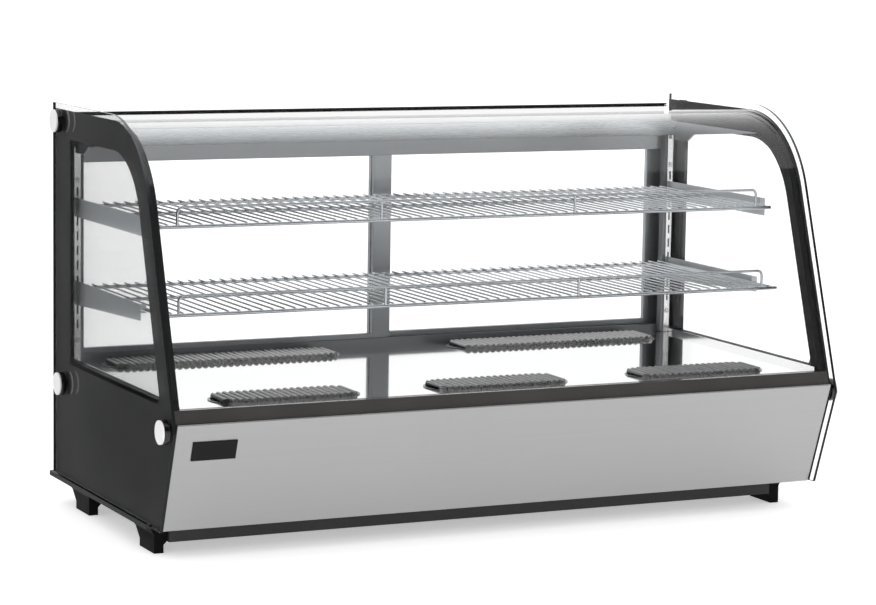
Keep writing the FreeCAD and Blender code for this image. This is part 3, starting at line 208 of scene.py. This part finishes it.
def grey(level, warmth=0.0):
    """A grey, turned a little towards red or, with a warmth under 0, towards blue."""
    return (level * (1 + warmth), level, level * (1 - warmth))


def brushed_steel(name, level, stretch, low_rough=0.24, high_rough=0.36, depth=0.00002):
    """Steel with fine grinding lines along one axis, and faint cloudy handling marks."""
    tree = Tree(name)
    lines = tree.noise(1.0, detail=6.0, rough=0.7, stretch=stretch)
    clouds = tree.noise(3.0, detail=3.0)
    both = tree.maths("MULTIPLY_ADD", clouds, 0.35, tree.maths("MULTIPLY", lines, 0.65))
    return tree.finish(
        Base_Color=tree.colours(both, grey(level * 0.96), grey(level * 1.03)),
        Metallic=1.0,
        Roughness=tree.spread(both, low_rough, high_rough),
        Normal=tree.bump(lines, 0.35, depth))


def painted(name, level, rough, grain_scale, grain=0.00003, warmth=0.0, metallic=0.0,
            spread=0.12, specular=0.5, glow=0.0):
    """Powder coat or moulded plastic: an even colour with a fine orange-peel grain."""
    tree = Tree(name)
    peel = tree.noise(grain_scale, detail=2.0)
    wear = tree.noise(7.0, detail=5.0)
    return tree.finish(
        Base_Color=tree.colours(wear, grey(level * (1 - spread), warmth),
                                grey(level * (1 + spread), warmth)),
        Metallic=metallic,
        Specular_IOR_Level=specular,
        Emission_Color=(1, 1, 1, 1),
        Emission_Strength=glow,
        Roughness=tree.spread(wear, rough * 0.85, rough * 1.15),
        Normal=tree.bump(peel, 0.5, grain))


def streaked_with_painted_shade(name, low_level, high_level, low_z, high_z, stretch, rough=0.34, metallic=0.85):
    """Satin aluminium or steel with streaks, its colour running from one height to another:
    painted shade at the darker height and a painted highlight at the lighter one.
    """
    tree = Tree(name)
    tint = 0.04
    # painted shade and highlight: the colour runs from low_level at low_z to high_level at high_z
    rise = tree.height(low_z, high_z)
    streaks = tree.noise(1.0, detail=5.0, rough=0.75, stretch=stretch)
    shade_and_streaks = tree.maths("ADD", tree.maths("MULTIPLY", rise, 0.75), tree.maths("MULTIPLY", streaks, 0.25))
    cool = tree.colours(shade_and_streaks, (low_level * (1 - tint), low_level, low_level * (1 + tint)),
                        (high_level * (1 - tint), high_level, high_level * (1 + tint)), 0.1, 0.9)
    return tree.finish(Base_Color=cool, Metallic=metallic,
                       Roughness=tree.spread(streaks, rough * 0.8, rough * 1.2),
                       Normal=tree.bump(streaks, 0.3, 0.00003))


def thin_glass(name, tint, edge=None, shine=0.02):
    """Clear sheet glass: it lets light straight through and mirrors more at a glance.

    Where edge is given, the cut edges of a sheet that faces along X take that deeper
    colour, apart from the rear edge, which is polished clear. Edges facing up are painted
    up to twelve times lighter: a painted highlight.
    """
    tree = Tree(name)
    facing = tree.node("ShaderNodeLayerWeight")
    facing.inputs["Blend"].default_value = 0.5
    rise = tree.maths("POWER", facing.outputs["Facing"], 5.0)
    mirror = tree.maths("MULTIPLY_ADD", rise, 1 - shine, shine)
    smudge = tree.noise(5.0, detail=5.0)
    clear = tree.node("ShaderNodeBsdfTransparent")
    tree.link(tree.colours(smudge, tuple(0.998 * c for c in tint), tint), clear.inputs["Color"])
    gloss = tree.node("ShaderNodeBsdfGlossy")
    gloss.inputs["Color"].default_value = (1, 1, 1, 1)
    tree.link(tree.spread(smudge, 0.01, 0.05), gloss.inputs["Roughness"])
    pane = tree.node("ShaderNodeMixShader")
    tree.link(mirror, pane.inputs["Fac"])
    tree.link(clear.outputs["BSDF"], pane.inputs[1])
    tree.link(gloss.outputs["BSDF"], pane.inputs[2])
    result = pane
    if edge is not None:
        place = tree.node("ShaderNodeTexCoord")
        parts = tree.node("ShaderNodeSeparateXYZ")
        tree.link(place.outputs["Normal"], parts.inputs["Vector"])
        on_edge = tree.maths("LESS_THAN", tree.maths("ABSOLUTE", parts.outputs["X"]), 0.5)
        not_rear = tree.maths("LESS_THAN", parts.outputs["Y"], 0.5)
        # painted highlight: cut edges are coloured lighter the more they face up, up to twelve times
        # the edge colour
        up = tree.spread(parts.outputs["Z"], 0.0, 1.0, 0.3, 1.0)
        rim = tree.node("ShaderNodeBsdfPrincipled")
        tree.put(rim, Base_Color=tree.colours(up, edge, tuple(12 * c for c in edge), 0.0, 1.0),
                 Roughness=0.2)
        rim.inputs["Specular IOR Level"].default_value = 0.2
        result = tree.node("ShaderNodeMixShader")
        tree.link(tree.maths("MULTIPLY", on_edge, not_rear), result.inputs["Fac"])
        tree.link(pane.outputs["Shader"], result.inputs[1])
        tree.link(rim.outputs["BSDF"], result.inputs[2])
    tree.link(result.outputs["Shader"], tree.output.inputs["Surface"])
    return tree.material


FLAG = painted("flag_cloth", level=0.004, rough=0.9, grain_scale=200.0)
FLOOR = painted("pale_floor", level=0.80, rough=0.6, grain_scale=60.0, spread=0.005, specular=0.0,
                glow=0.44)
STEEL_FRONT = brushed_steel("front_steel", level=0.375, stretch=(2, 500, 500), low_rough=0.36,
                            high_rough=0.42, depth=0.000006)
STEEL_SIDE = brushed_steel("side_steel", level=0.40, stretch=(400, 3, 400))
DECK_STEEL = brushed_steel("deck_steel", level=0.93, stretch=(3, 260, 260), low_rough=0.05,
                           high_rough=0.10, depth=0.000004)
VENT_STEEL = brushed_steel("vent_steel", level=0.24, stretch=(160, 3, 160), low_rough=0.22,
                           high_rough=0.34)
BLACK_COAT = painted("black_coat", level=0.012, rough=0.45, grain_scale=900.0, specular=0.15)
BASE_COAT = painted("base_coat", level=0.030, rough=0.45, grain_scale=900.0, specular=0.2)
BLACK_GLOSS = painted("black_gloss", level=0.005, rough=0.12, grain_scale=300.0, grain=0.000005)
BADGE_BLACK = painted("badge_black", level=0.010, rough=0.5, grain_scale=600.0, specular=0.1)
CHARCOAL = painted("charcoal_print", level=0.050, rough=0.35, grain_scale=700.0, grain=0.000004,
                   spread=0.03, specular=0.1)
BLACK_PLASTIC = painted("black_plastic", level=0.012, rough=0.5, grain_scale=1400.0, specular=0.3)
FOOT_BLACK = painted("foot_black", level=0.003, rough=0.6, grain_scale=1400.0, specular=0.08)
RAIL_BLACK = painted("rail_black", level=0.040, rough=0.4, grain_scale=700.0, warmth=0.05,
                     specular=0.15)
# painted shade: door frames and door tracks darker towards the bottom, lighter towards the top
DOOR_ALLOY = streaked_with_painted_shade("door_alloy", low_level=0.26, high_level=0.42, low_z=0.25, high_z=0.61,
                      stretch=(300, 300, 3))
TRACK_ALLOY = streaked_with_painted_shade("track_alloy", low_level=0.20, high_level=0.34, low_z=0.24, high_z=0.62,
                       stretch=(3, 300, 300))
# painted shade: the rear posts darken towards their tops
POST_ALLOY = streaked_with_painted_shade("post_alloy", low_level=0.22, high_level=0.05, low_z=0.45, high_z=0.61,
                      stretch=(260, 260, 3), rough=0.4, metallic=0.5)
# painted shade along the lower edges of the header and its brackets, a painted highlight towards their
# tops
HEADER_ALLOY = streaked_with_painted_shade("header_alloy", low_level=0.20, high_level=0.80, low_z=0.615, high_z=0.643,
                        stretch=(3, 240, 240), rough=0.28)
CHEEK_ALLOY = streaked_with_painted_shade("cheek_alloy", low_level=0.16, high_level=0.55, low_z=0.60, high_z=0.64,
                       stretch=(240, 3, 240))
BRIGHT_ALLOY = brushed_steel("pilaster_steel", level=0.78, stretch=(300, 300, 5), low_rough=0.2,
                             high_rough=0.3)
# painted shade: the shelf brackets a little darker towards the bottom
BRACKET_STEEL = streaked_with_painted_shade("bracket_steel", low_level=0.40, high_level=0.52, low_z=0.30, high_z=0.60,
                         stretch=(240, 4, 240), metallic=0.25)
WHITE_PLASTIC = painted("white_plastic", level=0.86, rough=0.42, grain_scale=900.0, spread=0.02)
WHITE_FOAM = painted("tub_liner", level=0.74, rough=0.5, grain_scale=500.0, spread=0.04)
SATIN_DISC = painted("satin_disc", level=0.74, rough=0.45, grain_scale=1600.0, spread=0.03)
WIRE = painted("wire_coat", level=0.50, rough=0.22, grain_scale=900.0, metallic=0.9, warmth=-0.04)
FINS = brushed_steel("fin_aluminium", level=0.66, stretch=(60, 60, 60), low_rough=0.3,
                     high_rough=0.5)
ZINC = brushed_steel("zinc", level=0.62, stretch=(300, 300, 300), low_rough=0.2, high_rough=0.35)
RUBBER = painted("seal_rubber", level=0.012, rough=0.62, grain_scale=1100.0, specular=0.2)


def copper():
    tree = Tree("copper_tube")
    stain = tree.noise(18.0, detail=5.0)
    return tree.finish(Base_Color=tree.colours(stain, (0.55, 0.24, 0.13), (0.85, 0.45, 0.28)),
                       Metallic=1.0, Roughness=tree.spread(stain, 0.22, 0.42),
                       Normal=tree.bump(stain, 0.3, 0.0001))


COPPER = copper()
# the side glass's cut edges near black, with a painted highlight where they face up
GLASS_SIDE = thin_glass("side_glass_clear", (0.996, 0.998, 0.997), (0.008, 0.009, 0.010))
GLASS_FRONT = thin_glass("front_glass_clear", (0.997, 0.998, 0.998))
GLASS_PANE = thin_glass("pane_clear", (0.997, 0.998, 0.998))

SKINS = {
    GLASS_SIDE: "side_glass_left side_glass_right",
    GLASS_FRONT: "front_glass",
    GLASS_PANE: "side_pane_left side_pane_right door_glass_left door_glass_right",
    CHARCOAL: "side_enamel_left side_enamel_right",
    BLACK_GLOSS: "standoff_caps power_switch light_switch",
    RAIL_BLACK: "glass_rail",
    BADGE_BLACK: "badge_plate",
    BLACK_COAT: "front_borders side_frame_left side_frame_right compressor fan_motors",
    BASE_COAT: "base_pan",
    STEEL_FRONT: "front_panel rear_panel",
    STEEL_SIDE: "side_wall_left side_wall_right",
    SATIN_DISC: "standoff_discs",
    FOOT_BLACK: "foot_front_left foot_front_right foot_rear_left foot_rear_right",
    BLACK_PLASTIC: "door_pull_left door_pull_right evaporator_fan_left evaporator_fan_right"
                   " condenser_fan condensate_tray control_plate thermostat_knob cable_gland",
    DECK_STEEL: "deck_plate",
    VENT_STEEL: "deck_vents",
    WIRE: "shelf_upper shelf_lower",
    DOOR_ALLOY: "door_frame_left door_frame_right",
    TRACK_ALLOY: "door_track_bottom door_track_top",
    POST_ALLOY: "rear_post_left rear_post_right",
    HEADER_ALLOY: "top_header",
    CHEEK_ALLOY: "header_brackets",
    BRIGHT_ALLOY: "pilasters",
    BRACKET_STEEL: "shelf_brackets",
    WHITE_PLASTIC: "header_cover led_lamp",
    WHITE_FOAM: "insulation_tub",
    RUBBER: "glass_rear_seal",
    FINS: "evaporator condenser",
    COPPER: "refrigerant_lines",
    ZINC: "screws",
}

EASED = ("side_frame_left side_frame_right glass_rail foot_front_left foot_front_right"
         " foot_rear_left foot_rear_right rear_post_left rear_post_right door_track_bottom"
         " door_track_top header_cover door_frame_left door_frame_right door_pull_left"
         " door_pull_right control_plate power_switch light_switch compressor thermostat_knob"
         " cable_gland pilasters standoff_caps standoff_discs badge_plate glass_rear_seal"
         " fan_motors condensate_tray").split()


def ease_edges():
    """A small rounded edge on the hard-edged CAD nodes, so that each edge catches light."""
    weld_reach, round_width, sharp = 0.00001, 0.0007, math.radians(40)
    for name in EASED:
        part = NODES[name]
        weld = part.modifiers.new("weld", "WELD")
        weld.merge_threshold = weld_reach
        bevel = part.modifiers.new("ease", "BEVEL")
        bevel.width = round_width
        bevel.segments = 2
        bevel.limit_method = "ANGLE"
        bevel.angle_limit = sharp


def bed_enamel():
    """Draw the painted borders a hair off the glass they sit on, so the two never share a face."""
    hair = 0.00005
    off_glass = {"side_enamel_left": {"X": hair}, "side_enamel_right": {"X": -hair},
                 "front_borders": {"Y": hair, "Z": -hair}}
    for name, steps in off_glass.items():
        for axis, step in steps.items():
            shift = NODES[name].modifiers.new("off_glass_" + axis, "DISPLACE")
            shift.direction = axis
            shift.mid_level = 0.0
            shift.strength = step


def dress():
    """Give every carried-over node its material."""
    for material, names in SKINS.items():
        for name in names.split():
            mesh = NODES[name].data
            mesh.materials.clear()
            mesh.materials.append(material)


# ------------------------------------------------------------------ added pieces

def piece(name, verts, faces, material, body, bevel=0.0, smooth=False):
    """A mesh object riding on a body, its edges rounded where a bevel is given."""
    mesh = bpy.data.meshes.new(name)
    mesh.from_pydata(verts, [], faces)
    mesh.validate()
    for polygon in mesh.polygons:
        polygon.use_smooth = smooth
    mesh.materials.append(material)
    made = bpy.data.objects.new(name, mesh)
    bpy.context.scene.collection.objects.link(made)
    if bevel:
        ease = made.modifiers.new("ease", "BEVEL")
        ease.width = bevel
        ease.segments = 2
        ease.limit_method = "ANGLE"
    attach(made, body)


def sweep(section, path):
    """Vertices and faces of a closed section carried along a list of places: (point, across, up)."""
    verts, faces = [], []
    count = len(section)
    for point, across, up in path:
        for u, v in section:
            verts.append(tuple(Vector(point) + Vector(across) * u + Vector(up) * v))
    for step in range(len(path) - 1):
        for index in range(count):
            a = step * count + index
            b = step * count + (index + 1) % count
            faces.append((a, b, b + count, a + count))
    faces.append(tuple(range(count))[::-1])
    faces.append(tuple(range((len(path) - 1) * count, len(path) * count)))
    return verts, faces


def joined(parts):
    """Several (verts, faces) lists as one."""
    verts, faces = [], []
    for more_verts, more_faces in parts:
        base = len(verts)
        verts += more_verts
        faces += [tuple(index + base for index in face) for face in more_faces]
    return verts, faces


def disc_section(radius, sides=10):
    """The corners of a round wire's section."""
    turns = [2 * math.pi * k / sides for k in range(sides)]
    return [(radius * math.cos(turn), radius * math.sin(turn)) for turn in turns]


def wire_ring(centre, radius, thick):
    """A closed ring of round wire, flat in a level plane."""
    steps, sides = 48, 8
    section = disc_section(thick, sides)
    verts, faces = [], []
    count = len(section)
    for step in range(steps):
        turn = 2 * math.pi * step / steps
        out = Vector((math.cos(turn), math.sin(turn), 0))
        for u, v in section:
            verts.append(tuple(Vector(centre) + out * (radius + u) + Vector((0, 0, v))))
        for index in range(count):
            a = step * count + index
            b = step * count + (index + 1) % count
            c = ((step + 1) % steps) * count
            faces.append((a, b, c + (index + 1) % count, c + index))
    return verts, faces


def fan_guards():
    """Wire guards over the two cold-air fans: rings on four spokes."""
    thick, clear = 0.0011, 0.007
    ring_shares = (0.28, 0.52, 0.76, 1.0)
    spoke_turns = (0.4, 0.4 + math.pi / 2)
    spoke_share = 1.1
    for side in ("left", "right"):
        low, high = (Vector(v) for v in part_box("evaporator_fan_" + side))
        centre = Vector(((low.x + high.x) / 2, (low.y + high.y) / 2, high.z + clear))
        reach = (high.x - low.x) / 2
        parts = [wire_ring(centre, reach * share, thick) for share in ring_shares]
        for turn in spoke_turns:
            way = Vector((math.cos(turn), math.sin(turn), 0))
            side_way = Vector((-way.y, way.x, 0))
            ends = [centre - way * reach * spoke_share, centre + way * reach * spoke_share]
            parts.append(sweep(disc_section(thick), [(end, side_way, (0, 0, 1)) for end in ends]))
        verts, faces = joined(parts)
        piece("fan_guard_" + side, verts, faces, WIRE, "case", smooth=True)


def louvre_hoods():
    """Pressed hoods over the rear panel's slots, open at the bottom."""
    low, high = (Vector(v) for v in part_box("rear_panel"))
    skin, depth, drop = 0.0012, 0.007, 0.008
    left, right = 0.149, 0.451
    rows, pitch, first, top_margin = 10, 0.014, 0.030, 0.025
    turns = [k * math.pi / 12 for k in range(7)]
    arc = [(depth * math.sin(t), drop * math.cos(t)) for t in turns]
    inner = [((depth - skin) * math.sin(t), (drop - skin) * math.cos(t)) for t in turns[::-1]]
    parts = []
    for row in range(rows):
        z = low.z + first + pitch * row
        if z > high.z - top_margin:
            break
        path = [((x, high.y, z), (0, 1, 0), (0, 0, 1)) for x in (left, right)]
        parts.append(sweep(arc + inner, path))
    verts, faces = joined(parts)
    piece("louvre_hoods", verts, faces, STEEL_FRONT, "case", bevel=0.0003)


def dial_ticks():
    """Raised ticks round the thermostat knob, a longer one at each end."""
    knob_low, knob_high = (Vector(v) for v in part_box("thermostat_knob"))
    plate_low, plate_high = (Vector(v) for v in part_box("control_plate"))
    count, apart, gap = 10, 30, 0.003
    long_tick, short_tick = 0.006, 0.0035
    wide, high = 0.0005, 0.0003
    section = [(-wide, -high), (wide, -high), (wide, high), (-wide, high)]
    centre = Vector(((knob_low.x + knob_high.x) / 2, plate_high.y, (plate_low.z + plate_high.z) / 2))
    inner = (knob_high.x - knob_low.x) / 2 + gap
    parts = []
    for step in range(count):
        turn = math.radians(step * apart)
        out = Vector((-math.sin(turn), 0, math.cos(turn)))
        side = Vector((out.z, 0, -out.x))
        length = long_tick if step in (0, count - 1) else short_tick
        path = [(centre + out * reach, side, (0, 1, 0)) for reach in (inner, inner + length)]
        parts.append(sweep(section, path))
    verts, faces = joined(parts)
    piece("dial_ticks", verts, faces, WHITE_PLASTIC, "case")


def brush_strips():
    """Soft brush strips down the meeting stiles, in the gap between the two doors."""
    count, inset, end, thick, reach = 150, 0.008, 0.012, 0.0009, 0.0019
    sway, sway_step, taper = 0.0004, 2.4, 0.6
    section = [(-thick, -thick), (thick, -thick), (thick, thick), (-thick, thick)]
    for side in ("left", "right"):
        low, high = (Vector(v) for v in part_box("door_frame_" + side))
        if side == "left":
            x, y, sign = high.x - inset, high.y, 1
        else:
            x, y, sign = low.x + inset, low.y, -1
        parts = []
        for index in range(count):
            z = low.z + end + (high.z - low.z - 2 * end) * index / (count - 1)
            lean = sway * math.sin(index * sway_step)
            path = [((x, y, z), (1, 0, 0), (0, 0, 1)),
                    ((x + lean, y + sign * reach, z + lean), (taper, 0, 0), (0, 0, taper))]
            parts.append(sweep(section, path))
        verts, faces = joined(parts)
        piece("brush_strip_" + side, verts, faces, RUBBER, "door_" + side)


def add_pieces():
    """The small pieces that only the scene has."""
    fan_guards()
    louvre_hoods()
    dial_ticks()
    brush_strips()


def set_scene():
    """Plain colours, and enough bounces to see through many sheets of glass."""
    scene = bpy.context.scene
    scene.view_settings.view_transform = "Standard"
    scene.cycles.transparent_max_bounces = 48
    scene.cycles.max_bounces = 16


dress()
bed_enamel()
ease_edges()
add_pieces()
make_camera()
make_stage()
set_scene()
